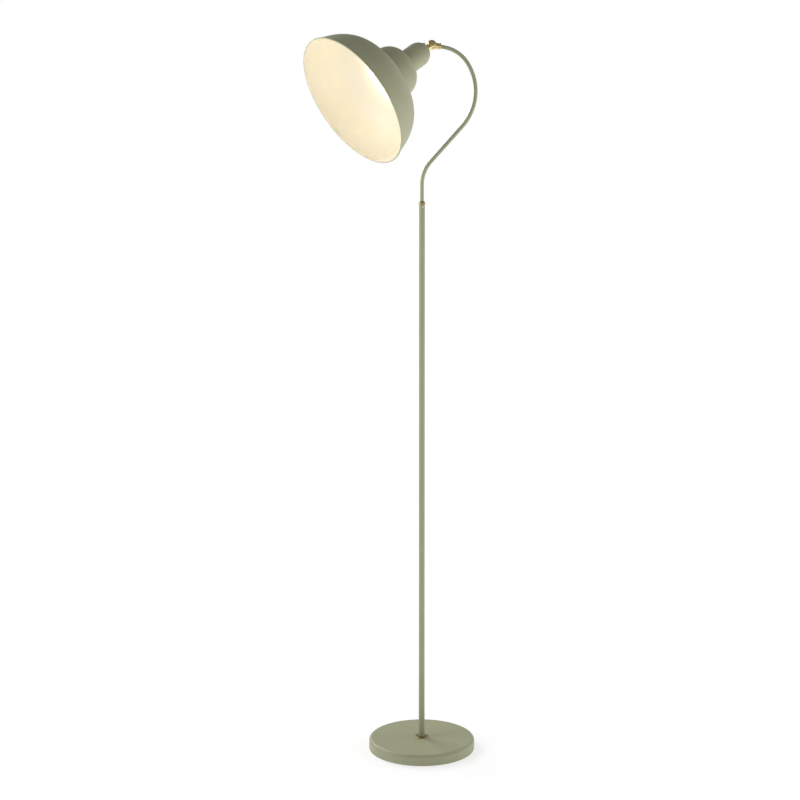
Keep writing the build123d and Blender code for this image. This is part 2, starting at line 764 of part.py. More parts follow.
pocket_floor = holder_body_start + holder_pocket_depth
flange_start = cap_end - holder_flange_height
with BuildPart() as holder_body:
    with BuildSketch(head_section):
        with BuildLine():
            Polyline((0, pocket_floor), (holder_pocket_radius, pocket_floor),
                     (holder_pocket_radius, holder_body_start), (holder_radius, holder_body_start),
                     (holder_radius, flange_start), (holder_flange_radius, flange_start),
                     (holder_flange_radius, cap_end), (holder_radius, cap_end),
                     (holder_radius, holder_body_end), (holder_bore_radius, holder_body_end),
                     (holder_bore_radius, holder_floor_end), (0, holder_floor_end), (0, pocket_floor))
        make_face()
    revolve(axis=head_axis)
keep(holder_body.part, "holder_body")

keep(ring(head_plane, holder_floor_end, holder_body_end - shell_drop, holder_bore_radius,
          holder_bore_radius - shell_wall), "holder_shell")

strip_length, strip_width, strip_height = contact_strip
with BuildPart() as holder_contact:
    with BuildSketch(head_plane.offset(holder_floor_end)):
        Rectangle(strip_length, strip_width)
    extrude(amount=strip_height)
    with BuildSketch(head_plane.offset(holder_floor_end + strip_height)):
        Circle(contact_radius)
    extrude(amount=bulb_contact - holder_floor_end - strip_height)
keep(holder_contact.part, "holder_contact")

terminal_length, terminal_width, terminal_height = terminal_size
with BuildPart() as holder_terminals:
    for offset in (-terminal_offset, terminal_offset):
        with BuildSketch(head_plane.offset(pocket_floor - terminal_height)):
            with Locations((offset, 0)):
                Rectangle(terminal_length, terminal_width)
        extrude(amount=terminal_height)
keep(holder_terminals.part, "holder_terminals")

ring_start = cap_end + shade_wall
with BuildPart() as shade_ring:
    with BuildSketch(head_plane.offset(ring_start)):
        Circle(shade_ring_radius)
        Circle(holder_radius + fit_gap, mode=Mode.SUBTRACT)
    extrude(amount=shade_ring_height)
    with BuildSketch(head_plane.offset(ring_start + ring_flange_height)):
        with PolarLocations(shade_ring_radius + ring_notch_offset, ring_notches):
            Circle(ring_notch_radius)
    extrude(amount=shade_ring_height, mode=Mode.SUBTRACT)
keep(shade_ring.part, "shade_ring")

# Spun shade: flat seat, small dome, large dome and rolled rim.
outside = shade_side(0)
inside = shade_side(shade_wall)
rim_out = outside[-1][2]
with BuildPart() as shade:
    with BuildSketch(head_section):
        with BuildLine():
            Line((shade_hole_radius, cap_end), outside[0][0])
            profile_edges(outside)
            Line(rim_out, inside[-1][2])
            profile_edges(inside)
            Polyline(inside[0][0], (shade_hole_radius, cap_end + shade_wall), (shade_hole_radius, cap_end))
        make_face()
    revolve(axis=head_axis)
    with BuildSketch(head_section):
        with Locations((rim_out.X - rim_roll_inset, rim_out.Y + rim_roll_drop)):
            Circle(rim_roll_radius)
    revolve(axis=head_axis)
keep(shade.part, "shade")

# Small globe lamp with a screw cap.
def globe(wall, bottom):
    """Solid of revolution with the lamp's outline, drawn in by a wall thickness."""
    centre = bulb_tip - bulb_radius
    radius = bulb_radius - wall
    lean = radians(globe_lean)
    crown = radians(globe_crown)
    shoulder = (radius * sin(lean), centre - radius * cos(lean))
    neck = [(r - wall, bulb_cap_end + depth) for r, depth in globe_neck]
    with BuildPart() as body:
        with BuildSketch(head_section):
            with BuildLine():
                Polyline((0, bottom), (neck[0][0], bottom), neck[0])
                Spline(*neck, shoulder, tangents=((0, 1), (cos(lean), sin(lean))))
                ThreePointArc(shoulder, (radius * cos(crown), centre + radius * sin(crown)),
                              (0, centre + radius))
                Line((0, centre + radius), (0, bottom))
            make_face()
        revolve(axis=head_axis)
    return body.part


with BuildPart() as bulb_glass:
    add(globe(0, bulb_cap_end - globe_root))
    add(globe(glass_wall, bulb_cap_end - globe_root + glass_wall), mode=Mode.SUBTRACT)
keep(bulb_glass.part, "bulb_glass")

with BuildPart() as bulb_cap:
    with BuildSketch(head_section):
        with BuildLine():
            nose = [(r, bulb_contact + depth) for r, depth in bulb_nose]
            Polyline(*nose, (nose[-1][0], bulb_cap_end), (bulb_cap_seat, bulb_cap_end),
                     (bulb_cap_seat, bulb_cap_end - globe_root), (0, bulb_cap_end - globe_root), nose[0])
        make_face()
    revolve(axis=head_axis)
keep(bulb_cap.part, "bulb_cap")

# ================================================================ inner lead
bend_height = inlet_height + lead_bend_radius
lead_tail = weight_radius - lead_end_gap
with BuildPart() as pole_lead:
    with BuildSketch(Plane(origin=(0, lead_tail, inlet_height), z_dir=(0, -1, 0))):
        Circle(lead_radius)
    lead_edges = [
        Line((0, lead_tail, inlet_height), (0, lead_bend_radius, inlet_height), mode=Mode.PRIVATE),
        ThreePointArc((0, lead_bend_radius, inlet_height),
                      (0, lead_bend_radius * (1 - sin(radians(45))),
                       bend_height - lead_bend_radius * cos(radians(45))),
                      (0, 0, bend_height), mode=Mode.PRIVATE),
        Line((0, 0, bend_height), (0, 0, arm_bottom - lead_end_gap), mode=Mode.PRIVATE),
    ]
    sweep(path=Wire(lead_edges))
keep(pole_lead.part, "pole_lead")

lead_route = arm_route(arm_bottom, arm_end_to_pivot - lead_end_to_pivot)
with BuildPart() as arm_lead:
    with BuildSketch(Plane(origin=(0, 0, arm_bottom), z_dir=(0, 0, 1))):
        Circle(lead_radius)
    sweep(path=Wire(lead_route.edges))
keep(arm_lead.part, "arm_lead")

with BuildPart() as head_lead:
    with BuildSketch(head_plane.offset(lead_end_to_pivot)):
        Circle(lead_radius)
    extrude(amount=nipple_end + head_lead_tail - lead_end_to_pivot)
    for side in (-1, 1):
        start = pivot + shade_forward * (nipple_end + head_lead_tail / 2)
        end = pivot + shade_forward * (holder_body_start - core_end_gap)
        end = end + tilt_direction * (side * core_spread)
        add(rod(start, end, core_radius))
keep(head_lead.part, "head_lead")
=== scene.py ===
import json
import math

import bpy
import numpy as np
from mathutils import Matrix, Vector

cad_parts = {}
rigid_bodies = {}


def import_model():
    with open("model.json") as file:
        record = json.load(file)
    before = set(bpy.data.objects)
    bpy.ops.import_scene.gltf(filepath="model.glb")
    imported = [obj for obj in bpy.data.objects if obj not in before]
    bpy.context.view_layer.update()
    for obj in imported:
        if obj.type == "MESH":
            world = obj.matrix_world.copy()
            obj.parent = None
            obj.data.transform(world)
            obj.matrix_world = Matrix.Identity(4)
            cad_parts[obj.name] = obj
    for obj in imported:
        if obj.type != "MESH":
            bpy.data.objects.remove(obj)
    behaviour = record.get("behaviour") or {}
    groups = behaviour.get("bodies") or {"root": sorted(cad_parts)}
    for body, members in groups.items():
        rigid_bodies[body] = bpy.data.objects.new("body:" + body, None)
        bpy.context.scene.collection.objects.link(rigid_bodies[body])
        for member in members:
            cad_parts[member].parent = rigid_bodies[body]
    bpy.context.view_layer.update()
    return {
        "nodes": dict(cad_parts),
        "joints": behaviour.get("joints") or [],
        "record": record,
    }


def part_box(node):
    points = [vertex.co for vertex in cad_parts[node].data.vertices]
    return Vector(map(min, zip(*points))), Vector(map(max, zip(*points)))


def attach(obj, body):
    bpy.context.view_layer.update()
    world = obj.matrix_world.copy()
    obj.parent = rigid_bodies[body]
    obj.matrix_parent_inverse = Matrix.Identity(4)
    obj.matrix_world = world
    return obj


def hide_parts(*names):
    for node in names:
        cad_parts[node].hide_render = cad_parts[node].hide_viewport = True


# Adjustable arm floor lamp: looks, light and camera, in metres in the CAD's frame.
# Turned outlines are in millimetres, as (radius, distance along the axis), and a third number is the
# radius of that corner.  On the head, distance runs from the knuckle's pin towards the shade's mouth.

for leftover in list(bpy.data.objects):
    bpy.data.objects.remove(leftover)

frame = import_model()
MM = 0.001

# ------------------------------------------------------------------ places
joints = {joint["name"]: joint for joint in frame["joints"]}
pivot = Vector(joints["head_tilt"]["pos_m"])
tilt_axis = Vector(joints["head_tilt"]["axis"]).normalized()
arm_forward = Vector(joints["knuckle_roll"]["axis"]).normalized()
REST_BEND = math.radians(52.369)
shade_forward = Matrix.Rotation(REST_BEND, 3, tilt_axis) @ arm_forward


def place(origin, z, x):
    """4x4 matrix of a frame with that origin, z axis and x axis."""
    z = Vector(z).normalized()
    x = Vector(x)
    x = (x - z * x.dot(z)).normalized()
    turn = Matrix((x, z.cross(x), z)).transposed().to_4x4()
    return Matrix.Translation(origin) @ turn


HEAD = place(pivot, shade_forward, tilt_axis)
FLOOR = Matrix.Identity(4)


# ------------------------------------------------------------------ materials
# Most of a noise texture's values lie in this band, so it is what gets spread out.
NOISE_BAND = (0.35, 0.65)


class Finish:
    """A node material and the few kinds of node that the finishes are made of."""

    def __init__(self, name, **shader):
        self.material = bpy.data.materials.new(name)
        self.material.use_nodes = True
        self.tree = self.material.node_tree
        self.shader = self.tree.nodes["Principled BSDF"]
        for socket, value in shader.items():
            self.shader.inputs[socket.replace("_", " ")].default_value = value
        self.coordinates = self.tree.nodes.new("ShaderNodeTexCoord").outputs["Object"]

    def link(self, source, target):
        self.tree.links.new(source, target)

    def stretched(self, scale):
        """Coordinates scaled by a different amount along each axis."""
        node = self.tree.nodes.new("ShaderNodeMapping")
        node.inputs["Scale"].default_value = scale
        self.link(self.coordinates, node.inputs["Vector"])
        return node.outputs["Vector"]

    def noise(self, scale, detail=2.0, roughness=0.5, where=None):
        """Noise from 0 to 1; scale is in cells to the metre."""
        node = self.tree.nodes.new("ShaderNodeTexNoise")
        node.inputs["Scale"].default_value = scale
        node.inputs["Detail"].default_value = detail
        node.inputs["Roughness"].default_value = roughness
        self.link(where or self.coordinates, node.inputs["Vector"])
        return node.outputs["Fac"]

    def span(self, value, low, high, to_low=0.0, to_high=1.0):
        """The range low to high of a value stretched over to_low to to_high, and clamped."""
        node = self.tree.nodes.new("ShaderNodeMapRange")
        node.inputs["From Min"].default_value = low
        node.inputs["From Max"].default_value = high
        node.inputs["To Min"].default_value = to_low
        node.inputs["To Max"].default_value = to_high
        self.link(value, node.inputs["Value"])
        return node.outputs["Result"]

    def blend(self, factor, first, second):
        """From the first colour to the second as factor goes from 0 to 1."""
        node = self.tree.nodes.new("ShaderNodeMix")
        node.data_type = "RGBA"
        self.link(factor, node.inputs["Factor"])
        for socket, colour in ((node.inputs["A"], first), (node.inputs["B"], second)):
            if isinstance(colour, tuple):
                socket.default_value = (*colour, 1.0)
            else:
                self.link(colour, socket)
        return node.outputs["Result"]

    def add(self, first, second, weight):
        """first + weight * second."""
        node = self.tree.nodes.new("ShaderNodeMath")
        node.operation = "MULTIPLY_ADD"
        self.link(second, node.inputs[0])
        node.inputs[1].default_value = weight
        self.link(first, node.inputs[2])
        return node.outputs["Value"]

    def bump(self, height, distance, strength):
        """Relief of that height in metres on the surface's shading."""
        node = self.tree.nodes.new("ShaderNodeBump")
        node.inputs["Distance"].default_value = distance
        node.inputs["Strength"].default_value = strength
        self.link(height, node.inputs["Height"])
        self.link(node.outputs["Normal"], self.shader.inputs["Normal"])

    def colour(self, output):
        self.link(output, self.shader.inputs["Base Color"])

    def rough(self, output):
        self.link(output, self.shader.inputs["Roughness"])


def shades_of(colour, amount):
    """The colour a little darker and a little lighter."""
    return tuple(c * (1 - amount) for c in colour), tuple(min(1.0, c * (1 + amount)) for c in colour)


def powder_coat(name, colour, variation=0.04, roughness=(0.47, 0.57), grain=1.0):
    """Baked powder coat: fine pebble grain, slow colour drift, a few lighter specks."""
    finish = Finish(name, Specular_IOR_Level=0.55)
    dark, light = shades_of(colour, variation)
    cloud = finish.noise(11.0, detail=4.0, roughness=0.55)
    drift = finish.blend(finish.span(cloud, *NOISE_BAND), dark, light)
    pebbles = finish.noise(1500.0, detail=3.0, roughness=0.6)
    speck = finish.span(pebbles, 0.62, 0.72, to_high=0.2)
    pale = tuple(min(1.0, c * 1.25 + 0.02) for c in colour)
    finish.colour(finish.blend(speck, drift, pale))
    finish.rough(finish.span(finish.add(cloud, pebbles, weight=0.5), 0.5, 1.0, *roughness))
    ripple = finish.noise(190.0, roughness=0.4)
    finish.bump(finish.add(pebbles, ripple, weight=1.6), distance=0.000014 * grain, strength=0.6)
    return finish.material


def turned_metal(name, colour, roughness, lines=(30.0, 30.0, 2600.0), tarnish=0.12):
    """Lathe-turned metal: fine lines round the axis, finest along z, and soft tarnish patches."""
    finish = Finish(name, Metallic=1.0)
    dark, light = shades_of(colour, tarnish)
    patches = finish.noise(70.0, detail=4.0, roughness=0.6)
    finish.colour(finish.blend(finish.span(patches, 0.35, 0.68), dark, light))
    marks = finish.noise(1.0, where=finish.stretched(lines))
    finish.rough(finish.span(finish.add(patches, marks, weight=0.6), 0.5, 1.1, *roughness))
    finish.bump(marks, distance=0.000006, strength=0.35)
    return finish.material


def moulded(name, colour, roughness=(0.38, 0.5)):
    """Moulded plastic or rubber with a fine eroded skin."""
    finish = Finish(name, Specular_IOR_Level=0.5)
    dark, light = shades_of(colour, 0.05)
    cloud = finish.noise(35.0, detail=3.0)
    finish.colour(finish.blend(finish.span(cloud, *NOISE_BAND), dark, light))
    skin = finish.noise(900.0, detail=3.0, roughness=0.6)
    finish.rough(finish.span(finish.add(cloud, skin, weight=0.5), 0.5, 1.0, *roughness))
    finish.bump(skin, distance=0.00005, strength=0.5)
    return finish.material


def felt(name, colour):
    """Pressed felt: matted fibres in two directions, a soft nap."""
    finish = Finish(name, Roughness=0.95, Sheen_Weight=0.35, Sheen_Roughness=0.5)
    dark, light = shades_of(colour, 0.35)
    fine, coarse, deep = 2600.0, 320.0, 900.0
    across, along = (finish.noise(1.0, detail=4.0, roughness=0.7, where=finish.stretched(scale))
                     for scale in ((fine, coarse, deep), (coarse, fine, deep)))
    fibres = finish.add(across, along, weight=1.0)
    finish.colour(finish.blend(finish.span(fibres, 0.8, 1.2), dark, light))
    finish.bump(fibres, distance=0.0004, strength=0.8)
    return finish.material


def casting(name, colour):
    """Rough sand casting."""
    finish = Finish(name, Metallic=0.35, Specular_IOR_Level=0.4)
    dark, light = shades_of(colour, 0.3)
    sand = finish.noise(420.0, detail=4.0, roughness=0.65)
    finish.colour(finish.blend(sand, dark, light))
    finish.rough(finish.span(sand, 0.3, 0.7, to_low=0.6, to_high=0.85))
    hollows = finish.noise(60.0, detail=3.0)
    finish.bump(finish.add(sand, hollows, weight=1.5), distance=0.0004, strength=0.7)
    return finish.material


def lit_glass(name, colour, glow, strength):
    """Opal lamp glass, lit, a little dimmer in slow patches of its coating."""
    finish = Finish(name, Roughness=0.3, Emission_Strength=strength)
    coat = finish.span(finish.noise(60.0, detail=3.0), *NOISE_BAND)
    finish.colour(finish.blend(coat, *shades_of(colour, 0.03)))
    shine = finish.blend(coat, *shades_of(glow, 0.04))
    finish.link(shine, finish.shader.inputs["Emission Color"])
    return finish.material


finishes = {
    "sage_paint": powder_coat("sage_powder_coat", (0.352, 0.364, 0.226)),
    "brass": turned_metal("turned_brass", (0.64, 0.51, 0.245), (0.14, 0.22), tarnish=0.07),
    "steel": turned_metal("zinc_plate", (0.62, 0.62, 0.60), (0.30, 0.45), lines=(900.0, 900.0, 60.0)),
    "iron": casting("grey_casting", (0.12, 0.12, 0.12)),
    "rubber": moulded("soft_rubber", (0.035, 0.036, 0.032), (0.6, 0.8)),
    "felt": felt("pad_felt", (0.045, 0.045, 0.042)),
    "nylon": moulded("natural_nylon", (0.78, 0.76, 0.70)),
    "white_plastic": moulded("holder_moulding", (0.80, 0.78, 0.72)),
    "opal_glass": lit_glass("opal_glass", (0.92, 0.88, 0.80), glow=(1.0, 0.86, 0.61), strength=11.5),
    "bulb_metal": turned_metal("lamp_cap_metal", (0.78, 0.78, 0.76), (0.25, 0.4)),
    "lead_sheath": moulded("lead_sheath", (0.70, 0.67, 0.60)),
}
liner = powder_coat("warm_white_liner", (0.78, 0.725, 0.59), variation=0.02, roughness=(0.42, 0.52),
                    grain=0.7)
# A darker brass colour than the knuckle's, for the arm collar and the foot ring.
darker_brass = turned_metal("darker_brass", (0.36, 0.29, 0.15), (0.26, 0.38), tarnish=0.10)

# The arm collar and the foot ring take the darker brass colour; every other part takes the finish named in
# its slot.
for part in frame["record"]["subparts"]:
    darker_brass_part = part["node"] in ("arm_collar", "foot_ring")
    for material_slot in frame["nodes"][part["node"]].material_slots:
        material_slot.material = darker_brass if darker_brass_part else finishes[part["material_slot"]]


# ------------------------------------------------------------------ mesh making
def rounded(points, steps=6):
    """A closed outline of (x, y) or (x, y, corner radius) with its corners rounded."""
    made = []
    count = len(points)
    for index, point in enumerate(points):
        corner = np.array(point[:2], float)
        radius = point[2] if len(point) > 2 else 0.0
        if radius <= 0:
            made.append(tuple(corner))
            continue
        to_last = np.array(points[index - 1][:2], float) - corner
        to_next = np.array(points[(index + 1) % count][:2], float) - corner
        last_length, next_length = np.linalg.norm(to_last), np.linalg.norm(to_next)
        to_last /= last_length
        to_next /= next_length
        half = math.acos(np.clip(to_last @ to_next, -1, 1)) / 2
        cut = min(radius / math.tan(half), 0.49 * last_length, 0.49 * next_length)
        radius = cut * math.tan(half)
        middle = to_last + to_next
        centre = corner + middle / np.linalg.norm(middle) * radius / math.sin(half)
        first, last = corner + to_last * cut - centre, corner + to_next * cut - centre
        turn = math.pi - 2 * half
        for step in range(steps + 1):
            share = step / steps
            arm = (first * math.sin((1 - share) * turn) + last * math.sin(share * turn)) / math.sin(turn)
            made.append(tuple(centre + arm))
    return made


def through(points, start, end, count):
    """count points along a smooth curve through all of points, from direction start to direction end."""
    points = np.array(points, float)
    chord = np.linalg.norm(np.diff(points, axis=0), axis=1)
    at = np.concatenate([[0.0], np.cumsum(chord)])
    size = len(points)
    system, right = np.zeros((size, size)), np.zeros((size, 2))
    system[0, 0] = system[-1, -1] = 1.0
    right[0] = np.array(start) / np.linalg.norm(start)
    right[-1] = np.array(end) / np.linalg.norm(end)
    for i in range(1, size - 1):
        before, after = chord[i - 1], chord[i]
        system[i, i - 1], system[i, i], system[i, i + 1] = after, 2 * (before + after), before
        right[i] = 3 * ((points[i + 1] - points[i]) / after * before
                        + (points[i] - points[i - 1]) / before * after)
    slope = np.linalg.solve(system, right)
    made = []
    for value in np.linspace(0, at[-1], count):
        i = min(int(np.searchsorted(at, value, side="right")) - 1, size - 2)
        step = chord[i]
        u = (value - at[i]) / step
        made.append(points[i] * (1 + 2 * u) * (1 - u) ** 2 + slope[i] * step * u * (1 - u) ** 2
                    + points[i + 1] * u * u * (3 - 2 * u) + slope[i + 1] * step * u * u * (u - 1))
    return [tuple(point) for point in made]


def lathe(name, outline, where, materials, sides=144, second_from=None, shape=None):
    """Closed outline turned about the z axis of where.

    Strips of the outline from number second_from on take the second material.
    shape(radius, distance, angle) gives a radius that changes round the axis.
    """
    vertices, rings = [], []
    for radius, distance in outline:
        if radius < 1e-6:
            rings.append([len(vertices)])
            vertices.append(where @ Vector((0.0, 0.0, distance * MM)))
            continue
        ring = []
        for side in range(sides):
            angle = 2 * math.pi * side / sides
            r = shape(radius, distance, angle) if shape else radius
            ring.append(len(vertices))
            spot = Vector((r * math.cos(angle), r * math.sin(angle), distance)) * MM
            vertices.append(where @ spot)
        rings.append(ring)
    faces, strip_of = [], []
    for index, ring in enumerate(rings):
        other = rings[(index + 1) % len(rings)]
        if len(ring) == 1 and len(other) == 1:
            continue
        for side in range(sides):
            after = (side + 1) % sides
            if len(ring) == 1:
                face = (ring[0], other[side], other[after])
            elif len(other) == 1:
                face = (ring[side], other[0], ring[after])
            else:
                face = (ring[side], other[side], other[after], ring[after])
            faces.append(face)
            strip_of.append(index)
    mesh = bpy.data.meshes.new(name)
    mesh.from_pydata(vertices, [], faces)
    for material in materials:
        mesh.materials.append(material)
    if second_from is not None:
        for polygon, strip in zip(mesh.polygons, strip_of):
            polygon.material_index = int(strip >= second_from)
    return finish_piece(name, mesh)


def finish_piece(name, mesh, sharp=35.0):
    """Outward normals and smooth shading that breaks at sharp edges."""
    mesh.validate()
    volume = signed_volume(mesh)
    if volume < 0:
        mesh.flip_normals()
    mesh.shade_smooth()
    mesh.set_sharp_from_angle(angle=math.radians(sharp))
    piece = bpy.data.objects.new(name, mesh)
    bpy.context.scene.collection.objects.link(piece)
    return piece


def signed_volume(mesh):
    """Six times the volume inside a closed mesh, negative when its normals point inwards."""
    total = 0.0
    for polygon in mesh.polygons:
        corners = [mesh.vertices[i].co for i in polygon.vertices]
        for second, third in zip(corners[1:], corners[2:]):
            total += corners[0].dot(second.cross(third))
    return total


# ------------------------------------------------------------------ shade
# Distance and radius of the flat seat that the shade ring clamps, and the hole in it.
SEAT, SEAT_RADIUS, HOLE_RADIUS = 75.3, 22.6, 20.2
WALL = 0.9
# Radius and turn in degrees of each arc from the seat to the rim; no turn is a straight run.
SHADE_ARCS = [
    (10.0, 12.15), (38.3, 67.5), (21.2, 0.0), (7.76, -47.0), (88.1, -11.3), (140.2, 10.8),
    (65.3, 22.56), (110.8, 16.92), (780.0, 2.0),
]
ARC_STEP, LEAST_STEPS, RUN_STEPS = 2.5, 4, 6
# The rolled rim: its radius, where its middle is from the profile's end, and its smoothness.
ROLL_RADIUS, ROLL_OFFSET, ROLL_POINTS = 1.5, (-0.15, 0.6), 26
ROLL_CLEARANCE = 0.15
LINER_EDGE = 0.6


def left_of(heading):
    """Unit vector square to a heading in degrees, on its left."""
    return np.array((-math.sin(math.radians(heading)), math.cos(math.radians(heading))))


def spun_face(inset):
    """Points along the shade's profile, moved inwards by an inset."""
    here, heading = np.array((SEAT_RADIUS, SEAT)), 0.0
    points = [here + left_of(heading) * inset]
    for size, turn in SHADE_ARCS:
        if turn == 0:
            ahead = left_of(heading - 90) * size
            points += [here + ahead * step / RUN_STEPS + left_of(heading) * inset
                       for step in range(1, RUN_STEPS + 1)]
            here = here + ahead
            continue
        bend = math.copysign(size, turn)
        centre = here + left_of(heading) * bend
        steps = max(LEAST_STEPS, math.ceil(abs(turn) / ARC_STEP))
        for step in range(1, steps + 1):
            side = left_of(heading + turn * step / steps)
            points.append(centre - side * (bend - inset))
        here = centre - left_of(heading + turn) * bend
        heading += turn
    return points


def clear_of_roll(points):
    """The points of a face up to where the rolled rim takes over."""
    return [tuple(point) for point in points
            if np.linalg.norm(point - roll_centre) > ROLL_RADIUS + ROLL_CLEARANCE]


def roll_angle(point):
    """Angle of a point seen from the middle of the rolled rim."""
    across, along = np.array(point) - roll_centre
    return math.atan2(along, across)


outer_face = spun_face(0.0)
roll_centre = outer_face[-1] + np.array(ROLL_OFFSET)
outer_face = clear_of_roll(outer_face)
inner_face = clear_of_roll(spun_face(WALL))
roll = [tuple(roll_centre + ROLL_RADIUS * np.array((math.cos(angle), math.sin(angle))))
        for angle in np.linspace(roll_angle(outer_face[-1]), roll_angle(inner_face[-1]) + 2 * math.pi,
                                 ROLL_POINTS)]
liner_start = next(index for index, (radius, distance) in enumerate(roll)
                   if radius < roll_centre[0] - LINER_EDGE and distance > roll_centre[1])
shade_loop = [(HOLE_RADIUS, SEAT)] + outer_face + roll + inner_face[::-1] + [(HOLE_RADIUS, SEAT + WALL)]
shade = lathe("shade_spun", shade_loop, HEAD, [finishes["sage_paint"], liner], sides=288,
              second_from=1 + len(outer_face) + liner_start)
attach(shade, "head")
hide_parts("shade")

# ------------------------------------------------------------------ shade ring
RING_RADIUS, RING_BORE = 22.5, 19.95
RING_START, RIBS_START, RING_END = 76.25, 78.4, 83.2
RIB_COUNT, RIB_DEPTH, RIB_SHARPNESS = 36, 0.75, 0.6


def ribbed(radius, distance, angle):
    """Grip ribs on the outside of the shade ring, clear of its flange."""
    if radius < RING_RADIUS - 2 * RIB_DEPTH or distance < RIBS_START:
        return radius
    return radius - RIB_DEPTH * max(0.0, math.cos(RIB_COUNT * angle)) ** RIB_SHARPNESS


ring_outline = rounded([
    (RING_BORE, RING_START, 0.3), (RING_RADIUS, RING_START, 0.4), (RING_RADIUS, RIBS_START - 0.2),
    (RING_RADIUS, RIBS_START + 0.6), (RING_RADIUS, RING_END - 1.2), (RING_RADIUS, RING_END, 0.9),
    (RING_BORE, RING_END, 0.5),
])
shade_ring = lathe("shade_ring_ribbed", ring_outline, HEAD, [finishes["white_plastic"]], sides=288,
                   shape=ribbed)
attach(shade_ring, "head")
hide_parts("shade_ring")


# ------------------------------------------------------------------ lampholder
def screw_thread(pitch, depth, start, end, least):
    """A round thread cut inwards from radii above least, which runs out at both ends."""
    def shape(radius, distance, angle):
        if radius < least:
            return radius
        fade = min(1.0, max(0.0, (distance - start) / pitch)) * min(1.0, max(0.0, (end - distance) / pitch))
        wave = 0.5 - 0.5 * math.cos(2 * math.pi * (distance / pitch - angle / (2 * math.pi)))
        return radius - depth * wave * fade
    return shape


def stepped(radius, start, end, count):
    """A straight side in enough steps to carry a thread."""
    return [(radius, start + (end - start) * i / count) for i in range(count + 1)]


BARREL_RADIUS, THREADED_RADIUS, FLANGE_RADIUS, LAMP_BORE = 19.8, 19.75, 23.2, 14.5
BARREL_BACK, TOP_SOCKET, LAMP_BORE_FLOOR, FLANGE_BACK, HOLDER_MOUTH = 46.0, 51.0, 60.0, 72.3, 88.0
barrel = rounded([
    (0, TOP_SOCKET), (12, TOP_SOCKET), (12, BARREL_BACK), (BARREL_RADIUS, BARREL_BACK, 0.6),
    (BARREL_RADIUS, FLANGE_BACK), (FLANGE_RADIUS, FLANGE_BACK, 0.4), (FLANGE_RADIUS, SEAT, 0.2),
    (THREADED_RADIUS, SEAT),
])
mouth = rounded([
    (THREADED_RADIUS, HOLDER_MOUTH - 1.3), (THREADED_RADIUS - 0.35, HOLDER_MOUTH, 0.5),
    (LAMP_BORE, HOLDER_MOUTH, 0.6), (LAMP_BORE, LAMP_BORE_FLOOR), (0, LAMP_BORE_FLOOR),
])
threaded = stepped(THREADED_RADIUS, SEAT, HOLDER_MOUTH - 1.4, count=60)
holder = lathe("holder_barrel", barrel[:-1] + threaded + mouth, HEAD, [finishes["white_plastic"]],
               shape=screw_thread(pitch=2.0, depth=0.45, start=76.5, end=HOLDER_MOUTH, least=19.3))
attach(holder, "head")
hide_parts("holder_body")

# ------------------------------------------------------------------ lamp
cap_contact = [(0, 62.0), (3.0, 62.4), (4.4, 63.6), (9.6, 65.0), (12.6, 66.2)]
cap_side = stepped(13.1, 67.4, 86.6, count=80)
cap_collar = [(12.9, 87.6), (12.5, 88.0), (12.4, 86.0), (0, 86.0)]
lamp_cap = lathe("lamp_screw_cap", cap_contact + cap_side + cap_collar, HEAD, [finishes["bulb_metal"]],
                 sides=96, shape=screw_thread(pitch=3.6, depth=1.0, start=67.0, end=86.0, least=12.95))
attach(lamp_cap, "head")
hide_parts("bulb_cap")

GLOBE_TIP, GLOBE_RADIUS = 140.0, 22.5
NECK_RADIUS, NECK_FOOT = 12.35, 86.1
# Angle from the axis, at the globe's middle, of the point where the neck runs into the globe.
SHOULDER = math.radians(72)


def globe():
    """The lamp's outline from its neck to its tip."""
    centre = GLOBE_TIP - GLOBE_RADIUS
    shoulder = (GLOBE_RADIUS * math.sin(SHOULDER), centre - GLOBE_RADIUS * math.cos(SHOULDER))
    neck = [(NECK_RADIUS, NECK_FOOT), (NECK_RADIUS, 88.2), (12.9, 92.0), (14.6, 97.5), (18.0, 104.0),
            shoulder]
    rise = through(neck, (0, 1), (math.cos(SHOULDER), math.sin(SHOULDER)), 30)
    arc = [(GLOBE_RADIUS * math.cos(angle), centre + GLOBE_RADIUS * math.sin(angle))
           for angle in np.linspace(SHOULDER - math.pi / 2, math.pi / 2, 40)]
    return [(0.0, NECK_FOOT)] + rise + arc[1:-1] + [(0.0, GLOBE_TIP)]


bulb = lathe("lamp_globe", globe(), HEAD, [finishes["opal_glass"]], sides=96)
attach(bulb, "head")
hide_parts("bulb_glass")

# ------------------------------------------------------------------ base pad
pad_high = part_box("base_pad")[1]
pad_radius, pad_top = pad_high.x / MM, pad_high.z / MM
pad_outline = rounded([(0, 0), (pad_radius, 0, 0.7), (pad_radius, pad_top, 0.3), (0, pad_top)])
pad = lathe("base_felt", pad_outline, FLOOR, [finishes["felt"]], sides=192)
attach(pad, "stand")
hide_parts("base_pad")

# ------------------------------------------------------------------ floor
FLOOR_RADIUS, FLOOR_SIDES = 30.0, 96
FLOOR_GLOW = 1.12
# The share of glow rises from GLOW_NEAR, at the first distance from the pole, to all of it at the second.
NEAR_POLE, FAR_FROM_POLE, GLOW_NEAR = 0.11, 0.70, 0.62


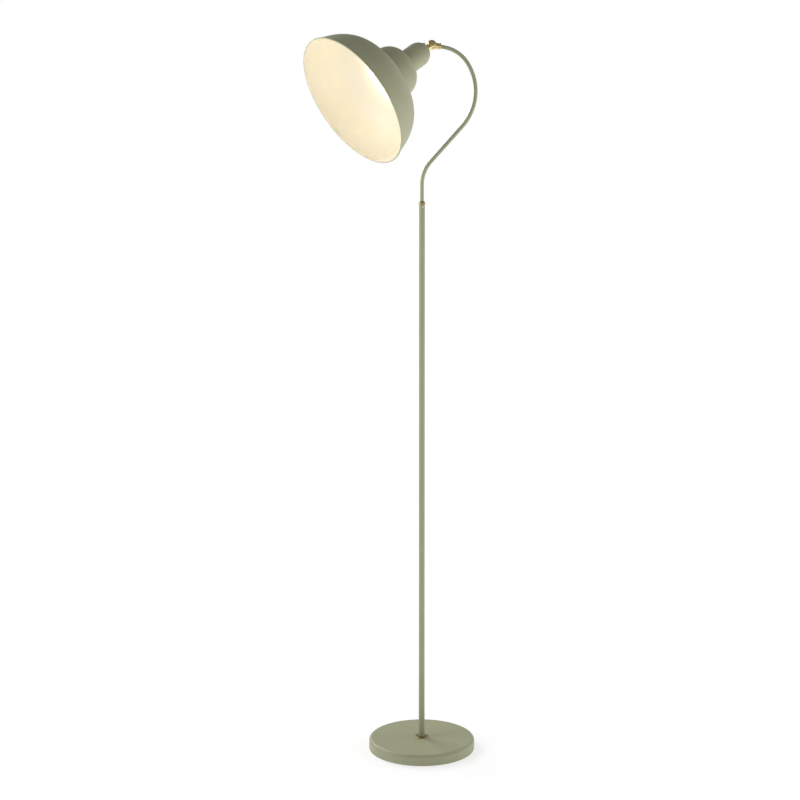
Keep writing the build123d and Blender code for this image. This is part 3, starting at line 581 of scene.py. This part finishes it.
def studio_floor():
    """Large floor of pale paper, which glows more away from the lamp until it is as bright as the sky."""
    mesh = bpy.data.meshes.new("studio_floor")
    angles = [2 * math.pi * side / FLOOR_SIDES for side in range(FLOOR_SIDES)]
    ring = [(FLOOR_RADIUS * math.cos(angle), FLOOR_RADIUS * math.sin(angle), 0.0) for angle in angles]
    mesh.from_pydata(ring, [], [tuple(range(FLOOR_SIDES))])
    floor = bpy.data.objects.new("studio_floor", mesh)
    bpy.context.scene.collection.objects.link(floor)
    finish = Finish("pale_paper", Roughness=0.9, Specular_IOR_Level=0.1)
    finish.colour(finish.blend(finish.noise(3.0), (0.90, 0.90, 0.89), (0.92, 0.92, 0.91)))
    distance = finish.tree.nodes.new("ShaderNodeVectorMath")
    distance.operation = "LENGTH"
    finish.link(finish.coordinates, distance.inputs[0])
    share = finish.span(distance.outputs["Value"], NEAR_POLE, FAR_FROM_POLE, to_low=GLOW_NEAR)
    glow = finish.tree.nodes.new("ShaderNodeEmission")
    glow.inputs["Strength"].default_value = FLOOR_GLOW
    mixed = finish.tree.nodes.new("ShaderNodeMixShader")
    finish.link(share, mixed.inputs["Fac"])
    finish.link(finish.shader.outputs["BSDF"], mixed.inputs[1])
    finish.link(glow.outputs["Emission"], mixed.inputs[2])
    finish.link(mixed.outputs["Shader"], finish.tree.nodes["Material Output"].inputs["Surface"])
    mesh.materials.append(finish.material)


studio_floor()

# ------------------------------------------------------------------ lights
# Name, place, height on the pole that it faces, width, height and watts of each soft box.
SOFTBOXES = [
    ("right_box", (2.3, -0.3, 1.7), 1.3, 1.2, 1.4, 7.4),
    ("low_right_box", (1.6, 0.2, 0.3), 1.4, 1.2, 1.2, 8.2),
    ("left_box", (-2.3, -0.5, 1.7), 1.3, 1.2, 1.4, 22.0),
    ("back_right_box", (1.6, 1.8, 2.0), 1.2, 1.4, 1.4, 7.8),
    ("back_left_box", (-1.6, 1.8, 2.0), 1.2, 1.4, 1.4, 48.9),
]
for name, location, aim_height, width, height, watts in SOFTBOXES:
    light = bpy.data.lights.new(name, "AREA")
    light.shape = "RECTANGLE"
    light.size, light.size_y = width, height
    light.energy = watts
    box = bpy.data.objects.new(name, light)
    bpy.context.scene.collection.objects.link(box)
    box.location = location
    box.rotation_mode = "QUATERNION"
    aim = Vector((0.0, 0.0, aim_height)) - Vector(location)
    box.rotation_quaternion = aim.to_track_quat("-Z", "Y")

# The sky is white where the camera sees it and dimmer as a light.
WHITE_SKY, AMBIENT = 1.0, 0.32
sky = bpy.data.worlds.new("studio_sky")
bpy.context.scene.world = sky
sky.use_nodes = True
sky_tree = sky.node_tree
seen = sky_tree.nodes["Background"]
lit = sky_tree.nodes.new("ShaderNodeBackground")
for background, strength in ((seen, WHITE_SKY), (lit, AMBIENT)):
    background.inputs["Color"].default_value = (1.0, 1.0, 1.0, 1.0)
    background.inputs["Strength"].default_value = strength
ray = sky_tree.nodes.new("ShaderNodeLightPath")
choose = sky_tree.nodes.new("ShaderNodeMixShader")
sky_tree.links.new(ray.outputs["Is Camera Ray"], choose.inputs["Fac"])
sky_tree.links.new(lit.outputs["Background"], choose.inputs[1])
sky_tree.links.new(seen.outputs["Background"], choose.inputs[2])
sky_tree.links.new(choose.outputs["Shader"], sky_tree.nodes["World Output"].inputs["Surface"])

view = bpy.context.scene.view_settings
view.view_transform = "Standard"
view.look = "None"

# ------------------------------------------------------------------ camera
CAMERA_PLACE = (-0.0463, -3.4939, 1.3196)
# Degrees that the camera looks down by, and its roll.
CAMERA_DOWN, CAMERA_ROLL = 8.926, -0.089
camera_data = bpy.data.cameras.new("camera")
camera_data.lens = 75.0
camera_data.sensor_width = 36.0
camera_data.clip_end = 100.0
camera = bpy.data.objects.new("camera", camera_data)
bpy.context.scene.collection.objects.link(camera)
camera.matrix_world = (Matrix.Translation(CAMERA_PLACE)
                       @ Matrix.Rotation(math.radians(90 - CAMERA_DOWN), 4, "X")
                       @ Matrix.Rotation(math.radians(CAMERA_ROLL), 4, "Z"))
bpy.context.scene.camera = camera
